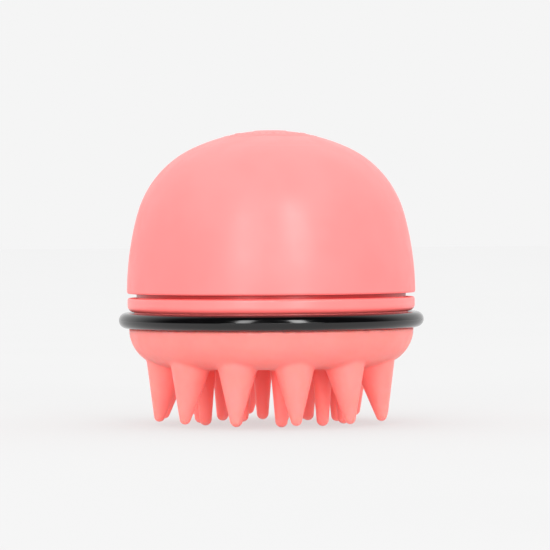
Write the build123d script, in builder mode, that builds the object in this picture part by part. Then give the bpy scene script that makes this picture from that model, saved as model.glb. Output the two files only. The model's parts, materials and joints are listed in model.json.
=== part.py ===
from build123d import *
import os
from math import asin, atan2, cos, hypot, radians, sin, sqrt

# Battery scalp massager brush: pull-off domed cover, casing, soft bristle head, vibration motor.
# Millimetres. +Z is up, Z = 0 is the plane of the lowest bristle tips and the Z axis is the
# brush's own axis. The front is -Y.

os.makedirs("parts", exist_ok=True)

# ---------------------------------------------------------------- driving dimensions
# Clearances
slide_gap = 0.08            # radial, between pieces that slide in each other
spin_gap = 0.05             # radial, shaft in its bearings
locate_gap = 0.10           # radial, between pieces that only locate each other
screw_gap = 0.15            # radial, screw in a through hole
rest_gap = 0.05             # between faces that meet when a moving piece is at rest
pad_gap = 0.15              # radial, press pad in the crown opening

# Body sizes
body_radius = 38.0          # dome cover at its open edge
dome_height = 42.7          # open edge to crown
crown_radius = 48.7
shoulder_radius = 27.0
side_radius = 78.0
dome_wall = 2.2
ceiling_margin = 1.0        # flat ceiling beyond the pad retainer
edge_round = 0.5

# Bristle head
bristle_height = 15.3       # tips to the bowl's lower rim
bowl_height = 9.9
bowl_inset = 0.5            # bowl radius below body radius
bowl_crown = 0.9            # drop of the convex underside at the axis
bowl_floor = 3.5
bowl_wall = 3.1
bowl_corner = 2.0           # bevel of the inner corner, where the outside is rounded
plate_thickness = 2.2
plate_boss_height = 2.0
plate_rim = 2.0

# Bristles: circles, radii and counts
outer_count = 12
outer_first_angle = -78.0
outer_edge_margin = 9.5     # bowl radius to the circle of the outer roots
outer_lean = 2.3            # outward shift from root to tip
outer_root_radius = 5.5
outer_tip_radius = 1.45
outer_short = 0.95          # outer tips above the lowest tips
middle_count = 10
middle_first_angle = -82.6
middle_circle = 19.2
middle_root_radius = 2.9
middle_tip_radius = 1.6
inner_count = 5
inner_first_angle = -72.0
inner_circle = 9.5
inner_short = 0.75
root_depth = 1.6            # bristle roots inside the bowl floor

# Bumper ring
ring_section = 2.05         # radius of the rubber section
ring_stand_out = 2.2        # ring's outer edge beyond the body radius
ring_stretch = 0.05

# Casing
flange_inset = 0.15         # flange radius below body radius
groove_height = 4.4
flange_side = 2.0           # straight side of the flange
casing_wall = 2.9
casing_floor = 2.0
neck_height = 7.7
seam_gap = 1.15             # open joint between flange and dome cover
neck_gap = 0.30             # radial, neck in the dome cover
seal_section = 0.80
ledge_width = 1.8
ledge_height = 1.6

# Motor
motor_radius = 7.5
motor_length = 20.0
motor_back = -13.0          # X of the can's open end
can_wall = 0.7
end_cap_thickness = 2.0
shaft_radius = 1.0
boss_radius = 3.0
boss_length = 1.5
armature_radius = 4.8
armature_length = 11.0
magnet_thickness = 1.4
weight_radius = 6.2
weight_length = 6.0
weight_standoff = 1.5
motor_floor_gap = 0.6
strap_thickness = 1.2
strap_width = 7.0
strap_foot = 6.2
strap_foot_margin = 2.2     # strap screw to the foot's end
strap_boss_radius = 2.6
strap_boss_height = 2.0
cradle_spread = 13.0        # between the two cradle ribs
cradle_rib = 2.0
cradle_side = 1.0           # rib beyond the motor's side
cradle_share = 0.7          # of the motor radius that the ribs reach up
can_end = 1.0
can_round = 0.8
cap_round = 0.6
cap_plug = 1.2
tab_spread = 8.0
tab_thickness = 0.5
tab_width = 2.2
tab_length = 3.0
magnet_split = 5.0
armature_slot_width = 0.9
armature_slot_depth = 1.5
weight_hub_radius = 2.4
shaft_back_end = 1.0
shaft_front_end = 0.8
tray_gap = 0.8

# Power and switch
cell_radius = 5.25          # AAA cell
cell_length = 44.5
nub_radius = 1.9
nub_length = 1.0
cell_gap = 0.9              # between the two cells
tray_thickness = 1.6
tray_margin = 1.2
bay_wall = 1.6
bay_lip = 3.75              # bay end walls above the cells' axis
bay_side_gap = 0.6          # cell to the bay's side wall
side_wall = 1.2
side_wall_height = 4.0
divider_width = 0.6
divider_height = 3.0
divider_inset = 6.0         # cell's end to the divider's end
lead_slot_length = 12.0
lead_slot_width = 3.2
lead_slot_offset = 3.0      # bay end wall to the slot's middle
contact_thickness = 0.5
contact_width = 8.0
contact_height = 7.0
contact_lift = 1.0          # tray to the contact's lower edge
contact_round = 1.0
tag_width = 2.4
tag_height = 2.0            # solder tag above the bay wall
leaf_reach = 1.5
leaf_half_width = 3.2
leaf_height = 4.0
leaf_end = 0.6
leaf_thickness = 0.35
board_width = 31.0
board_depth = 37.4
board_thickness = 1.6
board_corner = 3.0
board_gap = 1.7             # cells to board
board_post_x = 13.0
board_post_y = 16.2
post_radius = 2.4
switch_side = 8.5
switch_corner = 0.6
switch_height = 6.0
stem_radius = 1.6
stem_exposed = 2.3
stem_engaged = 3.6
press_travel = 1.0
stem_chamfer = 0.3
stem_bore_spare = 0.2
wire_radius = 0.6
wire_bend = 1.8
lead_lift = 2.4             # wires above the board
motor_lead_end = -11.0      # X of the motor wires' joints on the board
cell_lead_end = 12.0

# Press pad
pad_radius = 12.5
pad_proud = 0.05
pad_thickness = 4.4
pad_edge_round = 0.35
flange_thickness = 1.1
flange_width = 1.4
retainer_web = 1.2
retainer_radius = 18.2
retainer_bore = 11.5
retainer_gap = 0.3          # radial, plunger flange in the retainer
retainer_screw_shift = 0.2  # outward from the middle of the retainer's rim
plunger_radius = 3.0

# Screws, all of one self-tapping size
screw_radius = 1.0
screw_head_radius = 2.0
screw_head_height = 1.4
screw_head_round = 0.5
screw_point = 0.3
recess_length = 2.4
recess_width = 0.5
recess_depth = 0.7
pilot_spare = 0.4           # pilot hole beyond the screw's point
head_screw_bite = 3.0       # thread in the plastic
strap_screw_bite = 2.6
tray_screw_bite = 6.0
board_screw_bite = 4.0
retainer_screw_bite = 1.8
head_circle = 27.0          # circle of the head screws and the tray posts
head_boss_radius = 3.2
tray_post_radius = 3.0

# ---------------------------------------------------------------- derived levels and radii
bowl_radius = body_radius - bowl_inset
bowl_bore = bowl_radius - bowl_wall
bowl_top = bristle_height + bowl_height
bowl_floor_top = bristle_height + bowl_floor
bowl_arc_x = bowl_radius - bowl_height
dish_radius = (bowl_arc_x**2 + bowl_crown**2) / (2 * bowl_crown)
plate_top = bowl_floor_top + plate_thickness
casing_base = plate_top + plate_boss_height
casing_floor_top = casing_base + casing_floor
ring_radius = body_radius + ring_stand_out - ring_section
ring_level = bowl_top + groove_height / 2
hub_radius = ring_radius - ring_section + ring_stretch
flange_radius = body_radius - flange_inset
flange_round = flange_radius - hub_radius
flange_side_base = bowl_top + groove_height + flange_round
flange_top = flange_side_base + flange_side
dome_edge = flange_top + seam_gap
dome_top = dome_edge + dome_height
dome_bore = body_radius - dome_wall
neck_radius = dome_bore - neck_gap
neck_top = flange_top + neck_height
casing_bore = neck_radius - casing_wall
seal_radius = dome_bore - slide_gap - seal_section
seal_level = flange_top + neck_height / 2
ledge_base = neck_top + rest_gap

motor_level = casing_floor_top + motor_floor_gap + motor_radius
motor_front = motor_back + motor_length
motor_middle = (motor_back + motor_front) / 2
strap_inner = motor_radius + rest_gap
strap_outer = strap_inner + strap_thickness
strap_seat = casing_floor_top + strap_boss_height
strap_screw_y = motor_radius + strap_foot - strap_foot_margin
armature_back = motor_middle - armature_length / 2
cap_face = motor_back - end_cap_thickness
shaft_back = motor_back - shaft_back_end
weight_back = motor_front + boss_length + weight_standoff
shaft_front = weight_back + weight_length + shaft_front_end
tray_base = motor_level + motor_radius + strap_thickness + tray_gap
tray_top = tray_base + tray_thickness
tray_radius = casing_bore - tray_margin
cell_level = tray_top + cell_radius
cell_spacing = 2 * cell_radius + cell_gap
bay_half_length = cell_length / 2 + contact_thickness + leaf_reach / 2
bay_half_width = cell_spacing / 2 + cell_radius + bay_side_gap
bay_top = cell_level + bay_lip
contact_level = tray_top + contact_lift + contact_height / 2
slot_x = -bay_half_length - bay_wall - lead_slot_offset
leaf_foot = leaf_half_width - leaf_end

board_base = tray_top + 2 * cell_radius + board_gap
board_top = board_base + board_thickness
switch_top = board_top + switch_height
stem_top = switch_top + stem_exposed
plunger_base = stem_top + 2 * rest_gap
lead_top = board_top + lead_lift

# Dome cover profile: crown arc, shoulder arc and side arc, tangent to each other. The side is
# upright at the open edge. The shoulder's centre is where both tangencies hold.
crown_center = dome_top - crown_radius
side_center = body_radius - side_radius
crown_link = crown_radius - shoulder_radius
side_link = side_radius - shoulder_radius
span = hypot(side_center, dome_edge - crown_center)
along = (crown_link**2 - side_link**2 + span**2) / (2 * span)
across = sqrt(crown_link**2 - along**2)
unit_x = side_center / span
unit_z = (dome_edge - crown_center) / span
shoulder_x = along * unit_x + across * unit_z
shoulder_z = crown_center + along * unit_z - across * unit_x
crown_turn = atan2(shoulder_x, shoulder_z - crown_center)
side_turn = atan2(shoulder_x - side_center, shoulder_z - dome_edge)

# The flat ceiling lies where the dome's inside is wide enough for the pad retainer.
ceiling_radius = retainer_radius + ceiling_margin
if ceiling_radius < (crown_radius - dome_wall) * sin(crown_turn):
    ceiling = crown_center + sqrt((crown_radius - dome_wall)**2 - ceiling_radius**2)
else:
    ceiling = shoulder_z + sqrt((shoulder_radius - dome_wall)**2 - (ceiling_radius - shoulder_x)**2)
flange_level = ceiling - rest_gap
pad_flange_radius = pad_radius + flange_width
web_top = flange_level - flange_thickness - press_travel - 2 * rest_gap
web_base = web_top - retainer_web
pad_base = dome_top - pad_thickness
retainer_screw_circle = (pad_flange_radius + retainer_radius) / 2 + retainer_screw_shift


# ---------------------------------------------------------------- shared shapes
def bristle(root_circle, tip_circle, root_level, tip_level, root_radius, tip_radius):
    """One tapered bristle on the +X side: flat root, round tip, leaning in the XZ plane."""
    rise = root_level - tip_level
    lean = atan2(tip_circle - root_circle, rise)
    length = hypot(tip_circle - root_circle, rise)
    reach = length - tip_radius
    taper = atan2(root_radius, reach) - asin(tip_radius / hypot(root_radius, reach))
    side_start = (tip_radius * cos(taper), tip_radius - tip_radius * sin(taper))
    arc_middle = radians(-45) - taper / 2
    on_tip = (tip_radius * cos(arc_middle), tip_radius + tip_radius * sin(arc_middle))
    frame = Plane((tip_circle, 0, tip_level), x_dir=(cos(lean), 0, sin(lean)), z_dir=(0, -1, 0))
    with BuildPart() as shape:
        with BuildSketch(frame):
            with BuildLine():
                ThreePointArc((0, 0), on_tip, side_start)
                Polyline(side_start, (root_radius, length), (0, length), (0, 0))
            make_face()
        revolve(axis=Axis(frame.origin, frame.y_dir))
    return shape.part


def screw(seat, length, point_up=False):
    """A pan-head screw on the Z axis with its head seated at the given level."""
    way = -1 if point_up else 1
    with BuildPart() as shape:
        with BuildSketch(Plane.XY.offset(seat)):
            Circle(screw_head_radius)
        extrude(amount=way * screw_head_height)
        fillet(shape.edges().sort_by(Axis.Z)[-1 if way > 0 else 0], screw_head_round)
        with BuildSketch(Plane.XY.offset(seat + way * screw_head_height)):
            Rectangle(recess_length, recess_width)
            Rectangle(recess_width, recess_length)
        extrude(amount=-way * recess_depth, mode=Mode.SUBTRACT)
        with BuildSketch(Plane.XY.offset(seat)):
            Circle(screw_radius)
        extrude(amount=-way * length)
        chamfer(shape.edges().sort_by(Axis.Z)[0 if way > 0 else -1], screw_point)
    return shape.part


def finish(shape, name):
    """Label one sub-part and write it."""
    shape.part.label = name
    export_step(shape.part, "parts/" + name + ".step")


# ---------------------------------------------------------------- bristles
outer_root = bowl_radius - outer_edge_margin
root_level = bristle_height + root_depth
outer_shape = bristle(outer_root, outer_root + outer_lean, root_level, outer_short,
                      outer_root_radius, outer_tip_radius)
middle_shape = bristle(middle_circle, middle_circle, root_level, 0,
                       middle_root_radius, middle_tip_radius)
inner_shape = bristle(inner_circle, inner_circle, root_level, inner_short,
                      middle_root_radius, middle_tip_radius)

with BuildPart() as outer_bristles:
    with PolarLocations(0, outer_count, start_angle=outer_first_angle):
        add(outer_shape)
finish(outer_bristles, "outer_bristles")

with BuildPart() as middle_bristles:
    with PolarLocations(0, middle_count, start_angle=middle_first_angle):
        add(middle_shape)
finish(middle_bristles, "middle_bristles")

with BuildPart() as inner_bristles:
    with PolarLocations(0, inner_count, start_angle=inner_first_angle):
        add(inner_shape)
finish(inner_bristles, "inner_bristles")

# ---------------------------------------------------------------- bristle bowl
# A quarter-round side runs into a shallow convex underside that holds the bristle roots.
with BuildPart() as bristle_bowl:
    with BuildSketch(Plane.XZ):
        with BuildLine():
            CenterArc((bowl_arc_x, bowl_top), bowl_height, 270, 90)
            RadiusArc((0, bristle_height - bowl_crown), (bowl_arc_x, bristle_height), -dish_radius)
            Polyline((0, bristle_height - bowl_crown), (0, bowl_floor_top),
                     (bowl_bore - bowl_corner, bowl_floor_top), (bowl_bore, bowl_floor_top + bowl_corner),
                     (bowl_bore, bowl_top), (bowl_radius, bowl_top))
        make_face()
    revolve(axis=Axis.Z)
    top_edges = bristle_bowl.edges().filter_by(GeomType.CIRCLE).group_by(Axis.Z)[-1]
    chamfer(top_edges.sort_by(SortBy.RADIUS)[-1], edge_round)
    add(outer_bristles.part, mode=Mode.SUBTRACT)
    add(middle_bristles.part, mode=Mode.SUBTRACT)
    add(inner_bristles.part, mode=Mode.SUBTRACT)
finish(bristle_bowl, "bristle_bowl")

# ---------------------------------------------------------------- head plate
# Stiff disc inside the bowl: its rim and four bosses carry the casing floor.
with BuildPart() as head_plate:
    with BuildSketch(Plane.XY.offset(bowl_floor_top)):
        Circle(bowl_bore - locate_gap)
    extrude(amount=plate_thickness)
    chamfer(head_plate.edges().sort_by(Axis.Z)[0], bowl_corner)
    with BuildSketch(Plane.XY.offset(plate_top)):
        Circle(bowl_bore - locate_gap)
        Circle(bowl_bore - locate_gap - plate_rim, mode=Mode.SUBTRACT)
        with PolarLocations(head_circle, 4):
            Circle(head_boss_radius)
    extrude(amount=plate_boss_height)
    with BuildSketch(Plane.XY.offset(casing_base)):
        with PolarLocations(head_circle, 4):
            Circle(screw_radius)
    extrude(amount=-head_screw_bite - pilot_spare, mode=Mode.SUBTRACT)
finish(head_plate, "head_plate")

# ---------------------------------------------------------------- casing
# Cup with a plug in the bowl, the bumper ring's groove, the flange and the dome cover's neck.
with BuildPart() as casing:
    with BuildSketch(Plane.XZ):
        with BuildLine():
            Polyline((0, casing_base), (bowl_bore - locate_gap, casing_base),
                     (bowl_bore - locate_gap, bowl_top), (hub_radius, bowl_top),
                     (hub_radius, bowl_top + groove_height))
            CenterArc((hub_radius, flange_side_base), flange_round, 270, 90)
            Polyline((flange_radius, flange_side_base), (flange_radius, flange_top),
                     (neck_radius, flange_top), (neck_radius, neck_top), (casing_bore, neck_top),
                     (casing_bore, casing_floor_top), (0, casing_floor_top), (0, casing_base))
        make_face()
        with Locations((seal_radius, seal_level)):
            Rectangle(2 * seal_section, 2 * seal_section + locate_gap, mode=Mode.SUBTRACT)
    revolve(axis=Axis.Z)
    flange_rings = casing.edges().filter_by(GeomType.CIRCLE).filter_by(
        lambda ring: abs(ring.radius - flange_radius) < 0.01)
    fillet(flange_rings.sort_by(Axis.Z)[-1], edge_round)
    # posts that carry the battery tray, and bosses for the motor strap
    with BuildSketch(Plane.XY.offset(casing_floor_top)):
        with PolarLocations(head_circle, 4, start_angle=45):
            Circle(tray_post_radius)
    extrude(amount=tray_base - casing_floor_top)
    with BuildSketch(Plane.XY.offset(casing_floor_top)):
        with Locations((motor_middle, strap_screw_y), (motor_middle, -strap_screw_y)):
            Circle(strap_boss_radius)
    extrude(amount=strap_boss_height)
    # two cradle ribs under the motor can
    with BuildSketch(Plane.XY.offset(casing_floor_top)):
        with Locations((motor_middle - cradle_spread / 2, 0), (motor_middle + cradle_spread / 2, 0)):
            Rectangle(cradle_rib, 2 * (motor_radius + cradle_side))
    extrude(amount=motor_floor_gap + cradle_share * motor_radius)
    with BuildSketch(Plane.YZ.offset(cap_face)):
        with Locations((0, motor_level)):
            Circle(motor_radius + rest_gap)
    extrude(amount=motor_length + 2 * end_cap_thickness, mode=Mode.SUBTRACT)
    # screw holes: head screws through the floor, pilots in posts and bosses
    with BuildSketch(Plane.XY.offset(casing_base)):
        with PolarLocations(head_circle, 4):
            Circle(screw_radius + screw_gap)
    extrude(amount=casing_floor, mode=Mode.SUBTRACT)
    with BuildSketch(Plane.XY.offset(tray_base)):
        with PolarLocations(head_circle, 4, start_angle=45):
            Circle(screw_radius)
    extrude(amount=-tray_screw_bite - pilot_spare, mode=Mode.SUBTRACT)
    with BuildSketch(Plane.XY.offset(strap_seat)):
        with Locations((motor_middle, strap_screw_y), (motor_middle, -strap_screw_y)):
            Circle(screw_radius)
    extrude(amount=-strap_screw_bite - pilot_spare, mode=Mode.SUBTRACT)
finish(casing, "casing")

with BuildPart() as head_screws:
    with PolarLocations(head_circle, 4):
        add(screw(casing_floor_top, casing_floor + head_screw_bite))
finish(head_screws, "head_screws")

# ---------------------------------------------------------------- rubber rings
with BuildPart() as bumper_ring:
    with BuildSketch(Plane.XZ):
        with Locations((ring_radius, ring_level)):
            Circle(ring_section)
    revolve(axis=Axis.Z)
finish(bumper_ring, "bumper_ring")

with BuildPart() as seal_ring:
    with BuildSketch(Plane.XZ):
        with Locations((seal_radius, seal_level)):
            Circle(seal_section)
    revolve(axis=Axis.Z)
finish(seal_ring, "seal_ring")

# ---------------------------------------------------------------- vibration motor
with BuildPart() as motor_can:
    with BuildSketch(Plane.YZ.offset(motor_back)):
        with Locations((0, motor_level)):
            Circle(motor_radius)
    extrude(amount=motor_length)
    fillet(motor_can.edges().sort_by(Axis.X)[-1], can_round)
    with BuildSketch(Plane.YZ.offset(motor_back)):
        with Locations((0, motor_level)):
            Circle(motor_radius - can_wall)
    extrude(amount=motor_length - can_end, mode=Mode.SUBTRACT)
    with BuildSketch(Plane.YZ.offset(motor_front - can_end)):
        with Locations((0, motor_level)):
            Circle(boss_radius)
    extrude(amount=boss_length + can_end)
    with BuildSketch(Plane.YZ.offset(motor_front - can_end)):
        with Locations((0, motor_level)):
            Circle(shaft_radius + spin_gap)
    extrude(amount=boss_length + can_end, mode=Mode.SUBTRACT)
finish(motor_can, "motor_can")

with BuildPart() as motor_magnets:
    with BuildSketch(Plane.YZ.offset(armature_back)):
        with Locations((0, motor_level)):
            Circle(motor_radius - can_wall - rest_gap)
            Circle(motor_radius - can_wall - magnet_thickness, mode=Mode.SUBTRACT)
            Rectangle(2 * motor_radius, magnet_split, mode=Mode.SUBTRACT)
    extrude(amount=armature_length)
finish(motor_magnets, "motor_magnets")

with BuildPart() as motor_end_cap:
    with BuildSketch(Plane.YZ.offset(motor_back)):
        with Locations((0, motor_level)):
            Circle(motor_radius)
    extrude(amount=-end_cap_thickness)
    fillet(motor_end_cap.edges().sort_by(Axis.X)[0], cap_round)
    with BuildSketch(Plane.YZ.offset(motor_back)):
        with Locations((0, motor_level)):
            Circle(motor_radius - can_wall - rest_gap)
    extrude(amount=cap_plug)
    with BuildSketch(Plane.YZ.offset(motor_back + cap_plug)):
        with Locations((0, motor_level)):
            Circle(shaft_radius + spin_gap)
    extrude(amount=-cap_plug - shaft_back_end - pilot_spare, mode=Mode.SUBTRACT)
finish(motor_end_cap, "motor_end_cap")

with BuildPart() as motor_tabs:
    with BuildSketch(Plane.YZ.offset(cap_face)):
        with Locations((-tab_spread / 2, motor_level), (tab_spread / 2, motor_level)):
            Rectangle(tab_thickness, tab_width)
    extrude(amount=-tab_length)
finish(motor_tabs, "motor_tabs")

with BuildPart() as motor_strap:
    with BuildSketch(Plane.YZ.offset(motor_middle - strap_width / 2)):
        with Locations((0, motor_level)):
            Circle(strap_outer)
        with Locations((0, (motor_level + strap_seat) / 2)):
            Rectangle(2 * strap_outer, motor_level - strap_seat)
        with Locations((0, strap_seat + strap_thickness / 2)):
            Rectangle(2 * (motor_radius + strap_foot), strap_thickness)
        with Locations((0, motor_level)):
            Circle(strap_inner, mode=Mode.SUBTRACT)
        with Locations((0, motor_level - motor_radius)):
            Rectangle(2 * strap_inner, 2 * motor_radius, mode=Mode.SUBTRACT)
    extrude(amount=strap_width)
    with BuildSketch(Plane.XY.offset(strap_seat)):
        with Locations((motor_middle, strap_screw_y), (motor_middle, -strap_screw_y)):
            Circle(screw_radius + screw_gap)
    extrude(amount=strap_thickness, mode=Mode.SUBTRACT)
finish(motor_strap, "motor_strap")

with BuildPart() as strap_screws:
    with Locations((motor_middle, strap_screw_y, 0), (motor_middle, -strap_screw_y, 0)):
        add(screw(strap_seat + strap_thickness, strap_thickness + strap_screw_bite))
finish(strap_screws, "strap_screws")

# rotor: shaft, armature and eccentric weight turn together
with BuildPart() as motor_shaft:
    with BuildSketch(Plane.YZ.offset(shaft_back)):
        with Locations((0, motor_level)):
            Circle(shaft_radius)
    extrude(amount=shaft_front - shaft_back)
finish(motor_shaft, "motor_shaft")

with BuildPart() as motor_armature:
    with BuildSketch(Plane.YZ.offset(armature_back)):
        with Locations((0, motor_level)):
            Circle(armature_radius)
            Circle(shaft_radius, mode=Mode.SUBTRACT)
            with PolarLocations(armature_radius, 3, start_angle=90):
                Rectangle(2 * armature_slot_depth, armature_slot_width, mode=Mode.SUBTRACT)
    extrude(amount=armature_length)
finish(motor_armature, "motor_armature")

with BuildPart() as eccentric_weight:
    with BuildSketch(Plane.YZ.offset(weight_back)):
        with Locations((0, motor_level)):
            Circle(weight_radius)
        with Locations((0, motor_level + weight_radius / 2)):
            Rectangle(2 * weight_radius, weight_radius, mode=Mode.SUBTRACT)
        with Locations((0, motor_level)):
            Circle(weight_hub_radius)
            Circle(shaft_radius, mode=Mode.SUBTRACT)
    extrude(amount=weight_length)
finish(eccentric_weight, "eccentric_weight")

# ---------------------------------------------------------------- battery tray
with BuildPart() as battery_tray:
    with BuildSketch(Plane.XY.offset(tray_base)):
        Circle(tray_radius)
        with PolarLocations(head_circle, 4, start_angle=45):
            Circle(screw_radius + screw_gap, mode=Mode.SUBTRACT)
        with Locations((slot_x, 0)):
            SlotOverall(lead_slot_length, lead_slot_width, rotation=90, mode=Mode.SUBTRACT)
    extrude(amount=tray_thickness)
    with BuildSketch(Plane.XY.offset(tray_top)):
        with Locations((-bay_half_length - bay_wall / 2, 0), (bay_half_length + bay_wall / 2, 0)):
            Rectangle(bay_wall, 2 * bay_half_width)
    extrude(amount=bay_top - tray_top)
    with BuildSketch(Plane.XY.offset(tray_top)):
        with Locations((0, bay_half_width + side_wall / 2), (0, -bay_half_width - side_wall / 2)):
            Rectangle(2 * bay_half_length + 2 * bay_wall, side_wall)
    extrude(amount=side_wall_height)
    with BuildSketch(Plane.XY.offset(tray_top)):
        Rectangle(cell_length - 2 * divider_inset, divider_width)
    extrude(amount=divider_height)
    with BuildSketch(Plane.XY.offset(tray_top)):
        with GridLocations(2 * board_post_x, 2 * board_post_y, 2, 2):
            Circle(post_radius)
    extrude(amount=board_base - tray_top)
    with BuildSketch(Plane.XY.offset(board_base)):
        with GridLocations(2 * board_post_x, 2 * board_post_y, 2, 2):
            Circle(screw_radius)
    extrude(amount=-board_screw_bite - pilot_spare, mode=Mode.SUBTRACT)
finish(battery_tray, "battery_tray")

with BuildPart() as tray_screws:
    with PolarLocations(head_circle, 4, start_angle=45):
        add(screw(tray_top, tray_thickness + tray_screw_bite))
finish(tray_screws, "tray_screws")

# ---------------------------------------------------------------- cells and contacts
# The front cell points to -X and the back cell to +X, so the pair is in series.
for name, side in (("cell_front", -1), ("cell_back", 1)):
    can_start = -side * (bay_half_length - contact_thickness - leaf_reach)
    with BuildPart() as cell:
        with BuildSketch(Plane.YZ.offset(can_start)):
            with Locations((side * cell_spacing / 2, cell_level)):
                Circle(cell_radius)
        extrude(amount=side * (cell_length - nub_length))
        fillet(cell.edges().filter_by(GeomType.CIRCLE), edge_round)
        with BuildSketch(Plane.YZ.offset(can_start + side * (cell_length - nub_length))):
            with Locations((side * cell_spacing / 2, cell_level)):
                Circle(nub_radius)
        extrude(amount=side * nub_length)
    finish(cell, name)

with BuildPart() as bridge_contact:
    with BuildSketch(Plane.YZ.offset(-bay_half_length)):
        with Locations((0, contact_level)):
            RectangleRounded(cell_spacing + contact_width, contact_height, contact_round)
    extrude(amount=contact_thickness)
finish(bridge_contact, "bridge_contact")

with BuildPart() as terminal_contacts:
    with BuildSketch(Plane.YZ.offset(bay_half_length)):
        with Locations((-cell_spacing / 2, contact_level), (cell_spacing / 2, contact_level)):
            RectangleRounded(contact_width, contact_height, contact_round)
            Rectangle(tag_width, bay_top + tag_height - contact_level, align=(Align.CENTER, Align.MIN))
    extrude(amount=-contact_thickness)
finish(terminal_contacts, "terminal_contacts")

with BuildPart() as leaf_springs:
    with BuildSketch(Plane.XY.offset(cell_level - leaf_height / 2)):
        for side in (-1, 1):
            base_x = -side * (bay_half_length - contact_thickness)
            tip_x = base_x + side * leaf_reach
            leaf_y = side * cell_spacing / 2
            with BuildLine():
                ThreePointArc((base_x, leaf_y - leaf_half_width), (tip_x, leaf_y),
                              (base_x, leaf_y + leaf_half_width))
                Line((base_x, leaf_y + leaf_half_width), (base_x, leaf_y + leaf_foot))
                ThreePointArc((base_x, leaf_y + leaf_foot), (tip_x - side * leaf_thickness, leaf_y),
                              (base_x, leaf_y - leaf_foot))
                Line((base_x, leaf_y - leaf_foot), (base_x, leaf_y - leaf_half_width))
            make_face()
    extrude(amount=leaf_height)
finish(leaf_springs, "leaf_springs")

# ---------------------------------------------------------------- switch board
with BuildPart() as switch_board:
    with BuildSketch(Plane.XY.offset(board_base)):
        RectangleRounded(board_width, board_depth, board_corner)
        with GridLocations(2 * board_post_x, 2 * board_post_y, 2, 2):
            Circle(screw_radius + screw_gap, mode=Mode.SUBTRACT)
    extrude(amount=board_thickness)
finish(switch_board, "switch_board")

with BuildPart() as board_screws:
    with GridLocations(2 * board_post_x, 2 * board_post_y, 2, 2):
        add(screw(board_top, board_thickness + board_screw_bite))
finish(board_screws, "board_screws")

with BuildPart() as switch_body:
    with BuildSketch(Plane.XY.offset(board_top)):
        Rectangle(switch_side, switch_side)
    extrude(amount=switch_height)
    chamfer(switch_body.edges().filter_by(Axis.Z), switch_corner)
    with BuildSketch(Plane.XY.offset(switch_top)):
        Circle(stem_radius + slide_gap)
    extrude(amount=-(stem_engaged + press_travel + stem_bore_spare), mode=Mode.SUBTRACT)
finish(switch_body, "switch_body")

with BuildPart() as switch_stem:
    with BuildSketch(Plane.XY.offset(switch_top - stem_engaged)):
        Circle(stem_radius)
    extrude(amount=stem_engaged + stem_exposed)
    chamfer(switch_stem.edges().sort_by(Axis.Z)[-1], stem_chamfer)
finish(switch_stem, "switch_stem")

# ---------------------------------------------------------------- leads
with BuildPart() as motor_leads:
    for side in (-1, 1):
        tab_end = cap_face - tab_length
        tab_y = side * tab_spread / 2
        with BuildLine():
            FilletPolyline((tab_end, tab_y, motor_level), (slot_x, tab_y, motor_level),
                           (slot_x, tab_y, lead_top), (motor_lead_end, tab_y, lead_top),
                           (motor_lead_end, tab_y, board_top), radius=wire_bend)
        with BuildSketch(Plane.YZ.offset(tab_end)):
            with Locations((tab_y, motor_level)):
                Circle(wire_radius)
        sweep()
finish(motor_leads, "motor_leads")

with BuildPart() as cell_leads:
    for side in (-1, 1):
        lead_x = bay_half_length - contact_thickness / 2
        lead_y = side * cell_spacing / 2
        with BuildLine():
            FilletPolyline((lead_x, lead_y, bay_top + tag_height), (lead_x, lead_y, lead_top),
                           (cell_lead_end, lead_y, lead_top), (cell_lead_end, lead_y, board_top),
                           radius=wire_bend)
        with BuildSketch(Plane.XY.offset(bay_top + tag_height)):
            with Locations((lead_x, lead_y)):
                Circle(wire_radius)
        sweep()
finish(cell_leads, "cell_leads")

# ---------------------------------------------------------------- dome cover
def dome_arcs(inset):
    """The three tangent arcs, moved inward by inset: crown, shoulder, side as point triples."""
    crown_r = crown_radius - inset
    shoulder_r = shoulder_radius - inset
    side_r = side_radius - inset

    def at(center_x, center_z, radius, turn):
        return (center_x + radius * sin(turn), center_z + radius * cos(turn))

    middle_turn = (crown_turn + side_turn) / 2
    low_turn = (side_turn + radians(90)) / 2
    crown = (at(0, crown_center, crown_r, 0), at(0, crown_center, crown_r, crown_turn / 2),
             at(0, crown_center, crown_r, crown_turn))
    shoulder = (crown[2], at(shoulder_x, shoulder_z, shoulder_r, middle_turn),
                at(shoulder_x, shoulder_z, shoulder_r, side_turn))
    side = (shoulder[2], at(side_center, dome_edge, side_r, low_turn),
            at(side_center, dome_edge, side_r, radians(90)))
    return crown, shoulder, side


outer_crown, outer_shoulder, outer_side = dome_arcs(0)
inner_crown, inner_shoulder, inner_side = dome_arcs(dome_wall)
ledge_bore = dome_bore - ledge_width
ledge_top = ledge_base + ledge_height

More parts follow.
